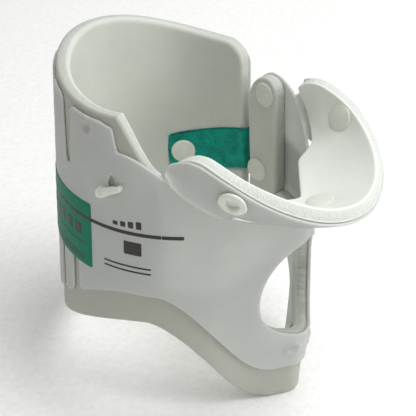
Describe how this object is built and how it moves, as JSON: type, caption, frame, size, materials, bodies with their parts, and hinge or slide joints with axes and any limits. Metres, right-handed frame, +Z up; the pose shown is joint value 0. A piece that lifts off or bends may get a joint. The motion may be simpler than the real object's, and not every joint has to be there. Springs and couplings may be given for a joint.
{
  "type": "cervical collar",
  "caption": "Wrap-around neck collar: thin plastic sheet lined with foam, folded-out chin support, pointed windpipe opening and a hook-and-loop strap.",
  "frame": {"origin": "on the axis of the neck opening, at the height of the printed line round the side", "axes": "+Z up along the neck, -Y towards the wearer's front, +X towards the wearer's left (the strap side)"},
  "size_m": [0.1066, 0.1333, 0.1365],
  "materials": {
    "plastic_sheet": "translucent polyethylene sheet, satin",
    "foam": "closed-cell foam with a smooth skin and a grainy cut edge",
    "strap_loop": "brushed loop fabric, teal",
    "hook_tape": "moulded hook tape, teal",
    "rivet": "moulded nylon, warm white",
    "stud": "moulded nylon, satin",
    "hook": "moulded white plastic",
    "label": "printed film label, teal",
    "ink": "black print"
  },
  "bodies": {
    "front": {"front_shell": "plastic_sheet", "front_liner": "foam", "flap_liner": "foam", "flap_rivets": "rivet", "flap_rivet_caps": "rivet", "loop_patch": "strap_loop", "front_liner_studs": "stud", "line_front": "ink"},
    "rear": {"rear_shell": "plastic_sheet", "rear_liner": "foam", "strap_root": "strap_loop", "strap_rivet": "rivet", "strap_rivet_cap": "rivet", "rear_liner_stud": "stud", "cannula_hook": "hook", "size_label": "label", "label_print": "ink", "line_rear": "ink", "side_print": "ink"},
    "strap": {"strap_tail": "strap_loop", "tail_hooks": "hook_tape"},
    "strap_end": {"strap_tip": "strap_loop", "tip_hooks": "hook_tape"},
    "chin": {"chin_plate": "plastic_sheet", "chin_pad": "foam", "chin_front_rivet": "rivet", "chin_side_rivets": "rivet", "chin_rivet_caps": "rivet"}
  },
  "joints": [
    {"name": "collar_open", "type": "hinge", "parent": "front", "child": "rear", "pos_m": [-0.04386, -0.02401, 0], "axis": [0, 0, 1], "range_deg": [0, 45]},
    {"name": "strap_peel", "type": "hinge", "parent": "rear", "child": "strap", "pos_m": [0.05389, -0.00094, -0.01], "axis": [0, 0, 1], "range_deg": [0, 99]},
    {"name": "strap_end_lift", "type": "hinge", "parent": "strap", "child": "strap_end", "pos_m": [0.04189, -0.03392, -0.01], "axis": [0, 0, 1], "range_deg": [0, 80]},
    {"name": "chin_fold", "type": "hinge", "parent": "front", "child": "chin", "pos_m": [0, -0.0315, 0.016], "axis": [1, 0, 0], "range_deg": [-16, 0]}
  ],
  "couplings": [
    {"joint": "strap_peel", "follows": "collar_open", "ratio": 2.2}
  ]
}
